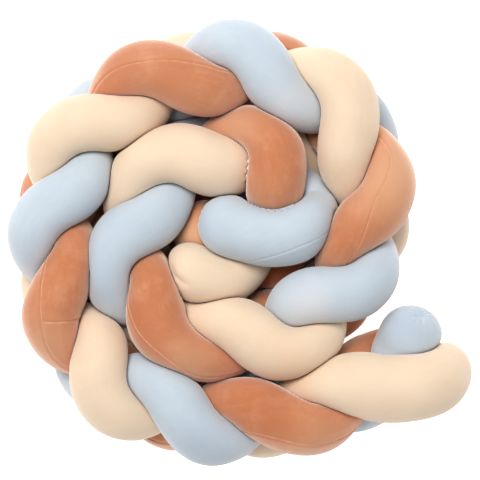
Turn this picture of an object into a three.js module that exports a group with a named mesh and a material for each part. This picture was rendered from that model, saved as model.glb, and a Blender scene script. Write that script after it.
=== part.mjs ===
// Braided crib bumper: three stuffed velvet tubes in a flat plait, rolled into a coil.
// The plait stands on its edge. Millimetres, +Z up, with the floor at z = 0.
import * as THREE from 'three';

// Strand sizes
const FULL_RADIUS = 37;
const FULLEST = 1.08;
const SLIMMEST = 0.97;

// Plait sizes
const LOBES_A_TURN = 3;
const LIFT = 48;
const LIFT_FLATNESS = 0.25;
const SWAY = 21;
const SETTLED = 4;
const MID_HEIGHT = LIFT + FULL_RADIUS - SETTLED;

// Where strands press on each other
const SEAT_GAP = 0.5;
const FACE_GAP = 0.3;
const TUCK_PASSES = 6;
const TOUCHING_REACH = 2.8 * FULL_RADIUS;
const OWN_STRETCH = 3.8 * FULL_RADIUS;
const BEND_LIMIT = 0.85;

// How far the cloth's tension rounds off the edge of a contact
const GIVE = 13;
const LEAST_SPREAD = 0.25;
const RELAX_STEPS = 60;

// Mesh steps
const STEPS_A_LOBE = 8;
const SITES = 480;
const RINGS = 126;
const SIDES = 20;
const CAP_TILTS = [22, 45, 68];
const FULLNESS_PASSES = 5;
const FULLNESS_SPAN = 1;

// The middle of the plait under each upper lobe, from the loose end in to the middle of the coil
const LOBES = [
  { lobe: -1, x: 329, y: -120, radius: 38 },
  { lobe: 0, x: 247, y: -137, radius: 38 },
  { lobe: 1, x: 152, y: -166, radius: 38.5 },
  { lobe: 2, x: 39, y: -204, radius: 36 },
  { lobe: 3, x: -69, y: -199, radius: 35 },
  { lobe: 4, x: -167, y: -153, radius: 35 },
  { lobe: 5, x: -209, y: -54, radius: 35 },
  { lobe: 6, x: -218, y: 45, radius: 35 },
  { lobe: 7, x: -174, y: 141, radius: 35 },
  { lobe: 8, x: -75, y: 197, radius: 35 },
  { lobe: 9, x: 28, y: 204, radius: 35 },
  { lobe: 10, x: 127, y: 144, radius: 35 },
  { lobe: 11, x: 150, y: 29, radius: 35 },
  { lobe: 12, x: 110, y: -60, radius: 35 },
  { lobe: 13, x: 29, y: -119, radius: 37 },
  { lobe: 14, x: -101, y: -89, radius: 37 },
  { lobe: 15, x: -139, y: 6, radius: 37 },
  { lobe: 16, x: -65, y: 102, radius: 38 },
  { lobe: 17, x: 38, y: 102, radius: 38.5 },
  { lobe: 18, x: 64, y: 8, radius: 37.5 },
  { lobe: 19, x: -44, y: -20, radius: 37.5 },
  { lobe: 20, x: -143, y: 4, radius: 36 },
];

// Each strand's plaited stretch in lobes, the bends by which it leaves the plait at its two ends,
// and the places where it lies a little off its regular route
const STRANDS = [
  {
    name: 'cream_strand',
    colour: 0xf6dfc4,
    plaited: [0.9, 17.9],
    outerEnd: [
      { x: 233, y: -145, z: 52 },
      { x: 239, y: -155, z: 85 },
      { x: 216, y: -168, z: 120 },
    ],
    innerEnd: [
      { x: 14, y: 0, z: 68 },
      { x: -8, y: -30, z: 88 },
      { x: -28, y: -45, z: 106 },
      { x: -57, y: -38, z: 116 },
      { x: -92, y: -26, z: 114 },
    ],
    shifts: [{ place: 7.8, x: -6, y: 0, z: -10, span: 0.35 }],
  },
  {
    name: 'rust_strand',
    colour: 0xd28a60,
    plaited: [1.2, 18.6],
    outerEnd: [
      { x: 249, y: -138, z: 42 },
      { x: 206, y: -138, z: 38 },
      { x: 162, y: -148, z: 42 },
    ],
    innerEnd: [
      { x: -14, y: -4, z: 60 },
      { x: -44, y: 14, z: 82 },
      { x: -80, y: 24, z: 92 },
    ],
    shifts: [
      { place: 6.5, x: 6, y: -1, z: 0, span: 0.4 },
      { place: 12.5, x: -6, y: 4, z: 0, span: 0.4 },
      { place: 16.4, x: 8, y: -6, z: -14, span: 0.35 },
      { place: 17.35, x: 6, y: 0, z: 0, span: 0.35 },
    ],
  },
  {
    name: 'blue_strand',
    colour: 0xc9dbea,
    plaited: [0.95, 17.5],
    outerEnd: [
      { x: 204, y: -90, z: 118 },
      { x: 202, y: -99, z: 99 },
      { x: 194, y: -130, z: 78 },
    ],
    innerEnd: [
      { x: 82, y: 38, z: 120 },
      { x: 72, y: 13, z: 130 },
      { x: 38, y: 6, z: 130 },
      { x: -4, y: 17, z: 127 },
      { x: -49, y: 34, z: 120 },
    ],
    shifts: [
      { place: 4.5, x: 4, y: 4, z: 0, span: 0.4 },
      { place: 7.5, x: 3, y: -3, z: 0, span: 0.4 },
      { place: 17.4, x: -12, y: -4, z: -14, span: 0.3 },
    ],
  },
];

const FIRST_LOBE = LOBES[0].lobe;
const LOBE_STEPS = LOBES.length - 1;

// The middle line of the plait in plan. Its third coordinate carries the strand radius there.
const plaitLine = new THREE.CatmullRomCurve3(
  LOBES.map((row) => new THREE.Vector3(row.x, row.y, row.radius)),
  false,
  'catmullrom',
  0.5,
);

// Height of a strand's middle as it swings over and under, held near its highest and lowest
function swing(wave) {
  return LIFT * wave * (1 + LIFT_FLATNESS - LIFT_FLATNESS * wave * wave);
}

// Middle of a plaited strand at a place counted in lobes
function plaitedPoint(strandIndex, shifts, place) {
  const along = (place - FIRST_LOBE) / LOBE_STEPS;
  const middle = plaitLine.getPoint(along);
  const heading = plaitLine.getTangent(along);
  const outward = new THREE.Vector2(-heading.y, heading.x).normalize();
  const turn = Math.PI / 2 + (2 * Math.PI * (place - strandIndex - 1)) / LOBES_A_TURN;
  const aside = SWAY * Math.sin(2 * turn);
  const point = new THREE.Vector3(
    middle.x + aside * outward.x,
    middle.y + aside * outward.y,
    MID_HEIGHT + swing(Math.sin(turn)),
  );
  for (const shift of shifts) {
    point.addScaledVector(shift, Math.exp(-(((place - shift.place) / shift.span) ** 2)));
  }
  return { point, radius: middle.z };
}

// A strand's middle line from its outer end to its inner end, with the radius at each knot
function strandLine(strand, strandIndex) {
  const [first, last] = strand.plaited;
  const count = Math.round((last - first) * STEPS_A_LOBE);
  const plaited = Array.from({ length: count + 1 }, (_, step) =>
    plaitedPoint(strandIndex, strand.shifts, first + ((last - first) * step) / count),
  );
  const bend = (row, radius) => ({ point: new THREE.Vector3(row.x, row.y, row.z), radius });
  const knots = [
    ...strand.outerEnd.map((row) => bend(row, plaited[0].radius)),
    ...plaited,
    ...strand.innerEnd.map((row) => bend(row, plaited[count].radius)),
  ];
  const curve = new THREE.CatmullRomCurve3(knots.map((knot) => knot.point));
  curve.arcLengthDivisions = 20 * knots.length;
  return { curve, radii: knots.map((knot) => knot.radius), length: curve.getLength() };
}

// Strand radius at a fraction of its length
function radiusAt(line, fraction) {
  const knot = line.curve.getUtoTmapping(fraction) * (line.radii.length - 1);
  const before = Math.min(Math.floor(knot), line.radii.length - 2);
  return THREE.MathUtils.lerp(line.radii[before], line.radii[before + 1], knot - before);
}

// Points along a strand that its neighbours press against, short of its two round ends
function contactSites(line) {
  const roundEnd = radiusAt(line, 0) / line.length;
  return Array.from({ length: SITES }, (_, index) => {
    const fraction = roundEnd + ((1 - 2 * roundEnd) * index) / (SITES - 1);
    return { point: line.curve.getPointAt(fraction), place: fraction * line.length };
  });
}

// How far a strand may reach in one direction before it meets a neighbour, itself or the floor
function reachLimit(centre, direction, pressing, bend) {
  let limit = Infinity;
  for (const toSite of pressing) {
    const facing = direction.dot(toSite);
    if (facing > 0) {
      limit = Math.min(limit, toSite.lengthSq() / (2 * facing) - SEAT_GAP);
    }
  }
  const inward = bend.dot(direction);
  if (inward > 0) {
    limit = Math.min(limit, BEND_LIMIT / inward);
  }
  if (direction.z < 0) {
    limit = Math.min(limit, centre.z / -direction.z);
  }
  return limit;
}

// Area of a ring whose spokes have the given lengths
function ringArea(spokes) {
  const wedge = 0.5 * Math.sin((2 * Math.PI) / spokes.length);
  return spokes.reduce((sum, spoke, side) => sum + wedge * spoke * spokes[(side + 1) % spokes.length], 0);
}

// Pull of the cloth on each ring from the rings on both sides and along the ring itself
function clothPulls(rings) {
  return rings.map((ring, index) => {
    const stepTo = (other) =>
      other ? ring.centre.distanceTo(other.centre) + ring.radius * Math.abs(ring.tilt - other.tilt) : undefined;
    const before = stepTo(rings[index - 1]) ?? stepTo(rings[index + 1]);
    const after = stepTo(rings[index + 1]) ?? before;
    const spread = (ring.radius * Math.max(Math.cos(ring.tilt), LEAST_SPREAD) * 2 * Math.PI) / SIDES;
    return {
      before: (2 * GIVE ** 2) / (before * (before + after)),
      after: (2 * GIVE ** 2) / (after * (before + after)),
      aside: (GIVE / spread) ** 2,
    };
  });
}

// Lets the cloth settle between its free radius and its limits, so that it leaves a contact without a corner
function relax(rings, pulls) {
  const mean = (reaches) => reaches.reduce((sum, reach) => sum + reach, 0) / reaches.length;
  for (let step = 0; step < RELAX_STEPS; step += 1) {
    const reachesOf = (index, ring) => (rings[index] ?? ring).reaches;
    const settled = rings.map((ring, index) => {
      const pull = pulls[index];
      const total = 1 + pull.before + pull.after + 2 * pull.aside;
      const before = reachesOf(index - 1, ring);
      const after = reachesOf(index + 1, ring);
      const count = ring.reaches.length;
      if (count === 1) {
        const beside = mean(before.length > 1 ? before : after);
        return [Math.min((ring.free + (total - 1) * beside) / total, ring.limits[0])];
      }
      return ring.reaches.map((_, side) => {
        const sides = ring.reaches[(side + 1) % count] + ring.reaches[(side + count - 1) % count];
        const ends = pull.before * before[side % before.length] + pull.after * after[side % after.length];
        return Math.min((ring.free + pull.aside * sides + ends) / total, ring.limits[side]);
      });
    });
    rings.forEach((ring, index) => {
      ring.reaches = settled[index];
    });
  }
}

// Sets how far each ring reaches: a strand that is pressed flat swells where it can
function swell(rings) {
  const pulls = clothPulls(rings);
  for (const ring of rings) {
    ring.free = ring.radius;
    ring.reaches = ring.limits.map((limit) => Math.min(ring.free, limit));
  }
  for (let pass = 0; pass < FULLNESS_PASSES; pass += 1) {
    relax(rings, pulls);
    const wanted = rings.map((ring) => {
      const share = ring.tilt > 0 ? 1 : ring.free * Math.sqrt(Math.PI / ringArea(ring.reaches));
      return ring.radius * THREE.MathUtils.clamp(share, SLIMMEST, FULLEST);
    });
    rings.forEach((ring, index) => {
      const near = wanted.slice(Math.max(0, index - FULLNESS_SPAN), index + FULLNESS_SPAN + 1);
      ring.free = near.reduce((sum, radius) => sum + radius, 0) / near.length;
    });
  }
  relax(rings, pulls);
}

// Shortest distance from a point to a list of sites
function nearest(point, points) {
  return Math.sqrt(points.reduce((least, site) => Math.min(least, point.distanceToSquared(site)), Infinity));
}

// The triangles between one ring and the next, each corner as its ring and its side; a tip is one corner
function facesAfter(rings, ring) {
  const faces = [];
  const here = rings[ring].spokes.length;
  const ahead = rings[ring + 1].spokes.length;
  for (let side = 0; side < SIDES; side += 1) {
    const next = (side + 1) % SIDES;
    if (here > 1) {
      faces.push([[ring, side], [ring, next], [ring + 1, side % ahead]]);
    }
    if (ahead > 1) {
      faces.push([[ring, next % here], [ring + 1, next], [ring + 1, side]]);
    }
  }
  return faces;
}

// A corner of the surface, never below the floor
function cornerPoint(ring, side) {
  const point = ring.centre.clone().addScaledVector(ring.spokes[side], ring.reaches[side]);
  point.z = Math.max(point.z, 0);
  return point;
}

// Draws corners in until every face, and not only its corners, lies on its own side of the contact surface
function tuckFaces(rings) {
  const weights = [[0.5, 0.5, 0], [0, 0.5, 0.5], [0.5, 0, 0.5], [1 / 3, 1 / 3, 1 / 3]];
  for (let pass = 0; pass < TUCK_PASSES; pass += 1) {
    const pulls = rings.map((ring) => ring.reaches.map(() => 0));
    rings.slice(0, -1).forEach(({ own, pressing }, index) => {
      for (const face of facesAfter(rings, index)) {
        const [a, b, c] = face.map(([row, side]) => cornerPoint(rings[row], side));
        for (const [u, v, w] of weights) {
          const sample = a.clone().multiplyScalar(u).addScaledVector(b, v).addScaledVector(c, w);
          const short = FACE_GAP - (nearest(sample, pressing) - nearest(sample, own)) / 2;
          face.forEach(([row, side]) => {
            pulls[row][side] = Math.max(pulls[row][side], short);
          });
        }
      }
    });
    rings.forEach((ring, index) => {
      ring.reaches = ring.reaches.map((reach, side) => reach - pulls[index][side]);
    });
  }
}

// Closed surface through the rings, from tip to tip
function closedTube(rings) {
  const corners = rings.map((ring) => ring.spokes.map((_, side) => cornerPoint(ring, side)));
  const positions = corners.flat().flatMap((corner) => corner.toArray());
  const starts = rings.map((_, index) => corners.slice(0, index).flat().length);
  const faces = rings.slice(0, -1).flatMap((_, index) => facesAfter(rings, index));
  const geometry = new THREE.BufferGeometry();
  geometry.setAttribute('position', new THREE.Float32BufferAttribute(positions, 3));
  geometry.setIndex(faces.flat().map(([row, side]) => starts[row] + side));
  geometry.computeVertexNormals();
  return geometry;
}

// How sharply the strand bends at a ring, as a vector towards the inside of the bend
function bendAt(line, fraction) {
  const step = FULL_RADIUS / 4 / line.length;
  const before = Math.max(fraction - step, 0);
  const after = Math.min(fraction + step, 1);
  const change = line.curve.getTangentAt(after).sub(line.curve.getTangentAt(before));
  return change.divideScalar((after - before) * line.length);
}

// Even rings along a strand, their spokes carried on without twist
function bodyRings(line) {
  const roundEnd = radiusAt(line, 0) / line.length;
  let upright = new THREE.Vector3(0, 0, 1);
  return Array.from({ length: RINGS }, (_, index) => {
    const fraction = roundEnd + ((1 - 2 * roundEnd) * index) / (RINGS - 1);
    const heading = line.curve.getTangentAt(fraction);
    upright = upright.clone().addScaledVector(heading, -upright.dot(heading)).normalize();
    const aside = new THREE.Vector3().crossVectors(heading, upright);
    const spokes = Array.from({ length: SIDES }, (_, side) => {
      const angle = (2 * Math.PI * side) / SIDES;
      return upright.clone().multiplyScalar(Math.cos(angle)).addScaledVector(aside, Math.sin(angle));
    });
    return {
      centre: line.curve.getPointAt(fraction),
      place: fraction * line.length,
      radius: radiusAt(line, fraction),
      bend: bendAt(line, fraction),
      tilt: 0,
      heading,
      spokes,
    };
  });
}

// Rings of a round end: the spokes of the last ring, tilted step by step towards the tip
function capRings(ring, towards) {
  const tip = ring.heading.clone().multiplyScalar(towards);
  return CAP_TILTS.map((degrees) => {
    const tilt = THREE.MathUtils.degToRad(degrees);
    const spokes = ring.spokes.map((spoke) =>
      spoke.clone().multiplyScalar(Math.cos(tilt)).addScaledVector(tip, Math.sin(tilt)),
    );
    return { ...ring, spokes, tilt, bend: new THREE.Vector3() };
  });
}

// The tip of a round end
function tipRing(ring, towards) {
  const spokes = [ring.heading.clone().multiplyScalar(towards)];
  return { ...ring, spokes, tilt: Math.PI / 2, bend: new THREE.Vector3() };
}

// One stuffed strand, flattened where it meets the others and where it stands on the floor
function strandGeometry(lines, sites, strandIndex) {
  const body = bodyRings(lines[strandIndex]);
  const [first, last] = [body[0], body[RINGS - 1]];
  const outerCap = [tipRing(first, -1), ...capRings(first, -1).reverse()];
  const rings = [...outerCap, ...body, ...capRings(last, 1), tipRing(last, 1)];
  for (const ring of rings) {
    const isOwn = (site, index) => index === strandIndex && Math.abs(site.place - ring.place) < OWN_STRETCH;
    const sitesNear = (wanted) =>
      sites.flatMap((strandSites, index) =>
        strandSites
          .filter((site) => isOwn(site, index) === wanted)
          .map((site) => site.point)
          .filter((point) => point.distanceTo(ring.centre) < TOUCHING_REACH),
      );
    ring.own = sitesNear(true);
    ring.pressing = sitesNear(false);
    const toSites = ring.pressing.map((point) => point.clone().sub(ring.centre));
    ring.limits = ring.spokes.map((spoke) => reachLimit(ring.centre, spoke, toSites, ring.bend));
  }
  swell(rings);
  tuckFaces(rings);
  return closedTube(rings);
}

const lines = STRANDS.map(strandLine);
const sites = lines.map(contactSites);
const bumper = new THREE.Group();

STRANDS.forEach((strand, index) => {
  const velvet = new THREE.MeshStandardMaterial({ color: strand.colour, roughness: 0.9, metalness: 0 });
  const mesh = new THREE.Mesh(strandGeometry(lines, sites, index), velvet);
  mesh.name = strand.name;
  bumper.add(mesh);
});

export default bumper;
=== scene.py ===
"""Looks of a braided crib bumper.

Three stuffed velvet tubes are plaited flat, and the plait stands on its edge in a loose coil.
Metres, +Z up, floor at z = 0. Each tube follows the route of the solid that it stands for.
"""

import logging
import math
from dataclasses import dataclass, replace
from enum import Enum

import bpy
import numpy as np
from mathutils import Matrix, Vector
from mathutils.bvhtree import BVHTree


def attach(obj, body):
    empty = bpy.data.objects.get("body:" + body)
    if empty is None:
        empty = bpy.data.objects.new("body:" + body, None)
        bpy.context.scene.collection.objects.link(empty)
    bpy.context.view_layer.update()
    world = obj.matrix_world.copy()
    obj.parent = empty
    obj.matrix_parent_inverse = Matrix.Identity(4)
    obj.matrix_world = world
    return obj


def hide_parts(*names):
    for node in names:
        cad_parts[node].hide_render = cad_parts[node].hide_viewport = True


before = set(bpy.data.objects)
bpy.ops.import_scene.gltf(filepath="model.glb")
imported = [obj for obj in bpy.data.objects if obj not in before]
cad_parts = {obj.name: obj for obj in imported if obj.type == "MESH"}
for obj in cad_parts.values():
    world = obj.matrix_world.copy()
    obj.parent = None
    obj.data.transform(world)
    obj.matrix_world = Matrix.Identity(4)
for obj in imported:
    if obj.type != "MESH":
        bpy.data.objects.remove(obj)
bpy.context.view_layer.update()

Array = np.ndarray
Wire = bpy.types.NodeSocket
Outputs = bpy.types.bpy_prop_collection
Inputs = dict[str | int, object]
Place = tuple[float, float, float]
Shade = tuple[int, int, int]
LOG = logging.getLogger("crib_bumper")

UP = np.array([0.0, 0.0, 1.0])
DOWN = Vector((0.0, 0.0, -1.0))
WHITE = (1.0, 1.0, 1.0, 1.0)
FAR = 1.0e3
TINY = 1.0e-6
MILLIMETRES = 1000.0


# Curves


def spline_pieces(
    before: Array, start: Array, end: Array, after: Array, rest: Array
) -> tuple[Array, Array]:
    """Cubic pieces from start to end with the slopes before and after.

    Args:
        before: Slopes at the starts.
        start: Starting points.
        end: End points.
        after: Slopes at the ends.
        rest: How far along its piece each wanted point lies, from 0 to 1.

    Returns:
        The points and the slopes there.
    """
    square = 3 * (end - start) - 2 * before - after
    cube = 2 * (start - end) + before + after
    points = start + rest * (before + rest * (square + rest * cube))
    slopes = before + rest * (2 * square + 3 * rest * cube)
    return points, slopes


def interpolated(where: Array, knots: Array, table: Array) -> Array:
    """Every column of a table at places between its knots."""
    return np.column_stack([np.interp(where, knots, column) for column in table.T])


def smoothed(values: Array, span: int) -> Array:
    """Values averaged with their neighbours up to a span away."""
    window = np.ones(2 * span + 1) / (2 * span + 1)
    return np.convolve(np.pad(values, span, mode="edge"), window, mode="valid")


def with_ends(rows: Array) -> Array:
    """Rows with one more at each end, carried straight on."""
    return np.vstack([2 * rows[0] - rows[1], rows, 2 * rows[-1] - rows[-2]])


def even_spline(rows: Array, where: Array) -> tuple[Array, Array]:
    """Catmull-Rom curve whose rows are one step apart.

    Args:
        rows: Points of the curve, one a row.
        where: Places on the curve, counted in rows from the first.

    Returns:
        The curve's points and its slopes at those places.
    """
    step = np.clip(where.astype(int), 0, len(rows) - 2)
    padded = with_ends(rows)
    before, start, end, after = (padded[step + shift] for shift in range(4))
    return spline_pieces((end - before) / 2, start, end, (after - start) / 2, (where - step)[:, None])


def knotted_spline(knots: Array, steps: int) -> Array:
    """Centripetal Catmull-Rom curve through knots that are unevenly apart.

    Args:
        knots: Rows of x, y, z and any further columns.
        steps: Points for each piece between two knots.

    Returns:
        Points along the curve with the knots' columns.
    """
    padded = with_ends(knots)
    pieces = len(knots) - 1
    chord = np.sqrt(np.linalg.norm(np.diff(padded[:, :3], axis=0), axis=1))[:, None]
    before, start, end, after = (padded[shift : shift + pieces] for shift in range(4))
    gap_before, gap, gap_after = (chord[shift : shift + pieces] for shift in range(3))
    leaving = (start - before) / gap_before - (end - before) / (gap_before + gap) + (end - start) / gap
    coming = (end - start) / gap - (after - start) / (gap + gap_after) + (after - end) / gap_after
    rest = (np.arange(steps) / steps)[None, :, None]
    rows = [row[:, None] for row in (leaving * gap, start, end, coming * gap)]
    points, _ = spline_pieces(*rows, rest)
    return np.vstack([points.reshape(-1, knots.shape[1]), knots[-1:]])


def unit(vectors: Array) -> Array:
    """Vectors made one long."""
    return vectors / np.maximum(np.linalg.norm(vectors, axis=-1, keepdims=True), TINY)


def eased(share: Array) -> Array:
    """A step from 0 to 1 that starts and ends gently."""
    share = np.clip(share, 0, 1)
    return share * share * (3 - 2 * share)


def bell(distance: Array, width: float) -> Array:
    """A soft bump, 1 at no distance and nearly 0 at twice the width."""
    return np.exp(-((distance / width) ** 2))


# The plait


@dataclass(frozen=True)
class Lobe:
    """The middle of the plait in plan under one upper lobe, and the strand radius there."""

    number: int
    x: float
    y: float
    radius: float


LOBES = (
    Lobe(-1, 0.329, -0.120, 0.0380),
    Lobe(0, 0.247, -0.137, 0.0380),
    Lobe(1, 0.152, -0.166, 0.0385),
    Lobe(2, 0.039, -0.204, 0.0350),
    Lobe(3, -0.069, -0.199, 0.0350),
    Lobe(4, -0.167, -0.153, 0.0350),
    Lobe(5, -0.209, -0.054, 0.0337),
    Lobe(6, -0.218, 0.045, 0.0350),
    Lobe(7, -0.174, 0.141, 0.0350),
    Lobe(8, -0.075, 0.197, 0.0350),
    Lobe(9, 0.028, 0.204, 0.0350),
    Lobe(10, 0.127, 0.144, 0.0350),
    Lobe(11, 0.150, 0.029, 0.0350),
    Lobe(12, 0.110, -0.060, 0.0350),
    Lobe(13, 0.029, -0.119, 0.0370),
    Lobe(14, -0.101, -0.089, 0.0370),
    Lobe(15, -0.139, 0.006, 0.0370),
    Lobe(16, -0.065, 0.102, 0.0380),
    Lobe(17, 0.038, 0.102, 0.0385),
    Lobe(18, 0.064, 0.008, 0.0375),
    Lobe(19, -0.044, -0.020, 0.0375),
    Lobe(20, -0.143, 0.004, 0.0360),
)


@dataclass(frozen=True)
class Plait:
    """The flat plait of three strands and its route round the coil."""

    lobes: tuple[Lobe, ...] = LOBES
    lobes_a_turn: int = 3
    lift: float = 0.048
    lift_flatness: float = 0.25
    sway: float = 0.021
    full_radius: float = 0.037
    settled: float = 0.004

    def middle(self, place: Array) -> tuple[Array, Array]:
        """The plait's middle line.

        Args:
            place: Places counted in lobes.

        Returns:
            Rows of x, y and strand radius, and the line's heading in plan.
        """
        rows = np.array([(lobe.x, lobe.y, lobe.radius) for lobe in self.lobes])
        points, slopes = even_spline(rows, place - self.lobes[0].number)
        return points, unit(slopes[:, :2])

    def strand(self, order: int, place: Array) -> Array:
        """Middle of a plaited strand.

        Args:
            order: Which strand it is, from 0.
            place: Places counted in lobes.

        Returns:
            Rows of x, y, z, radius and place.
        """
        middle, heading = self.middle(place)
        outward = np.stack([-heading[:, 1], heading[:, 0]], axis=1)
        turn = math.pi / 2 + 2 * math.pi * (place - order - 1) / self.lobes_a_turn
        plan = middle[:, :2] + self.sway * np.sin(2 * turn)[:, None] * outward
        wave = np.sin(turn)
        swing = self.lift * wave * (1 + self.lift_flatness - self.lift_flatness * wave * wave)
        height = self.lift + self.full_radius - self.settled + swing
        return np.column_stack([plan, height, middle[:, 2], place])


class Role(Enum):
    """Where a strand starts in the plait, by its colour."""

    CREAM = 0
    RUST = 1
    BLUE = 2


@dataclass(frozen=True)
class SeamTurn:
    """Which way a strand's long seam faces at a place: degrees from straight up, outward from the coil."""

    place: float
    lean: float


@dataclass(frozen=True)
class Sewing:
    """The long seam that closes a tube, and the joining seams across it."""

    groove_depth: float = 0.0008
    groove_width: float = 0.0007
    lip_height: float = 0.0004
    lip_width: float = 0.0022
    lip_aside: float = 0.0034
    pucker_pitch: float = 0.0115
    pucker_share: float = 0.45
    pucker_waver: float = 0.8
    waver_pitches: float = 3.7
    far_lip_phase: float = 1.3

    def profile(self, distance: Array, along: Array) -> tuple[Array, Array]:
        """Height of the cloth beside a seam.

        Args:
            distance: Signed distance from the seam.
            along: Distance along the seam.

        Returns:
            The groove's depth, and how high the lips on both sides are.
        """
        groove = self.groove_depth * bell(distance, self.groove_width)
        phase = 2 * math.pi * along / self.pucker_pitch + np.where(distance > 0, 0.0, self.far_lip_phase)
        waver = self.pucker_waver * np.sin(phase / self.waver_pitches)
        pucker = 1 - self.pucker_share * (0.5 + 0.5 * np.sin(phase + waver))
        lips = self.lip_height * pucker * bell(np.abs(distance) - self.lip_aside, self.lip_width)
        return groove, lips


@dataclass(frozen=True)
class Fold:
    """A soft trough in the top of a strand, along a line in plan."""

    points: tuple[tuple[float, float], ...]
    lowest: float
    width: float
    depth: float
    steps_a_piece: int = 8
    taper: float = 0.08
    rise: float = 0.006

    def depth_at(self, points: Array) -> Array:
        """The fold's depth, tapering to both its ends.

        Args:
            points: Points of the cloth, in rings.

        Returns:
            One depth for each point.
        """
        route = np.array(self.points)
        fine = knotted_spline(np.column_stack([route, np.zeros(len(route))]), self.steps_a_piece)[:, :2]
        strength = np.sin(math.pi * np.linspace(self.taper, 1 - self.taper, len(fine)))
        depth = np.zeros(points.shape[:2])
        for where, much in zip(fine, strength):
            distance = np.linalg.norm(points[..., :2] - where, axis=2)
            depth = np.maximum(depth, much * bell(distance, self.width))
        return self.depth * depth * eased((points[..., 2] - self.lowest) / self.rise)


@dataclass(frozen=True)
class PaintedLightPatch:
    """A soft patch of painted light (share over 0) or painted shade (share under 0), seen in plan."""

    x: float
    y: float
    reach: float
    share: float


@dataclass(frozen=True)
class Shift:
    """A strand lying a little off its regular route near one place."""

    place: float
    x: float
    y: float
    z: float
    span: float

    def at(self, places: Array) -> Array:
        """How far the strand is moved at each place."""
        return bell(places - self.place, self.span)[:, None] * np.array([self.x, self.y, self.z])


@dataclass(frozen=True)
class StrandPlan:
    """What a maker decides for one strand: its plaited stretch, loose ends, seam and folds."""

    name: str
    slot: str
    role: Role
    plaited: tuple[float, float]
    outer_end: tuple[Place, ...]
    inner_end: tuple[Place, ...]
    seam: tuple[SeamTurn, ...]
    shifts: tuple[Shift, ...] = ()
    folds: tuple[Fold, ...] = ()
    joins: tuple[float, ...] = ()
    # Patches of painted light and painted shade.
    brushed: tuple[PaintedLightPatch, ...] = ()
    sewing: Sewing = Sewing()


def seam_over_lobe(lobe: int, *turns: tuple[float, float]) -> tuple[SeamTurn, ...]:
    """Turns of a seam at steps from one lobe."""
    return tuple(SeamTurn(lobe + step, lean) for step, lean in turns)


def seam_under_lobes(lobes: tuple[int, ...], lean: float) -> tuple[SeamTurn, ...]:
    """A seam that keeps to one side, out of sight, at each of the given lobes."""
    return tuple(SeamTurn(lobe, lean) for lobe in lobes)


CREAM = StrandPlan(
    name="cream_velvet_strand",
    slot="cream_velvet",
    role=Role.CREAM,
    plaited=(0.9, 17.9),
    outer_end=((0.233, -0.145, 0.052), (0.239, -0.155, 0.085), (0.216, -0.168, 0.120)),
    inner_end=(
        (0.014, 0.0, 0.068),
        (-0.008, -0.030, 0.088),
        (-0.028, -0.045, 0.106),
        (-0.060, -0.036, 0.117),
        (-0.097, -0.021, 0.115),
    ),
    seam=seam_under_lobes((1, 4, 7, 10, 13, 16), 165.0),
    shifts=(
        Shift(1.25, 0.000, -0.010, 0.000, 0.25),
        Shift(4.65, -0.018, -0.006, -0.030, 0.30),
        Shift(7.8, -0.006, 0.000, -0.010, 0.35),
        Shift(10.3, 0.005, 0.000, 0.000, 0.25),
        Shift(16.6, 0.010, 0.000, 0.004, 0.25),
    ),
    folds=(
        Fold(
            points=(
                (-0.082, -0.025),
                (-0.080, -0.033),
                (-0.077, -0.040),
                (-0.073, -0.043),
                (-0.068, -0.040),
            ),
            lowest=0.10,
            width=0.0026,
            depth=0.0042,
        ),
        Fold(
            points=((-0.074, -0.049), (-0.068, -0.047), (-0.062, -0.049)),
            lowest=0.10,
            width=0.0030,
            depth=0.0022,
        ),
    ),
    # A painted shade patch.
    brushed=(PaintedLightPatch(0.058, -0.144, 0.030, -0.80),),
)

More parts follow.
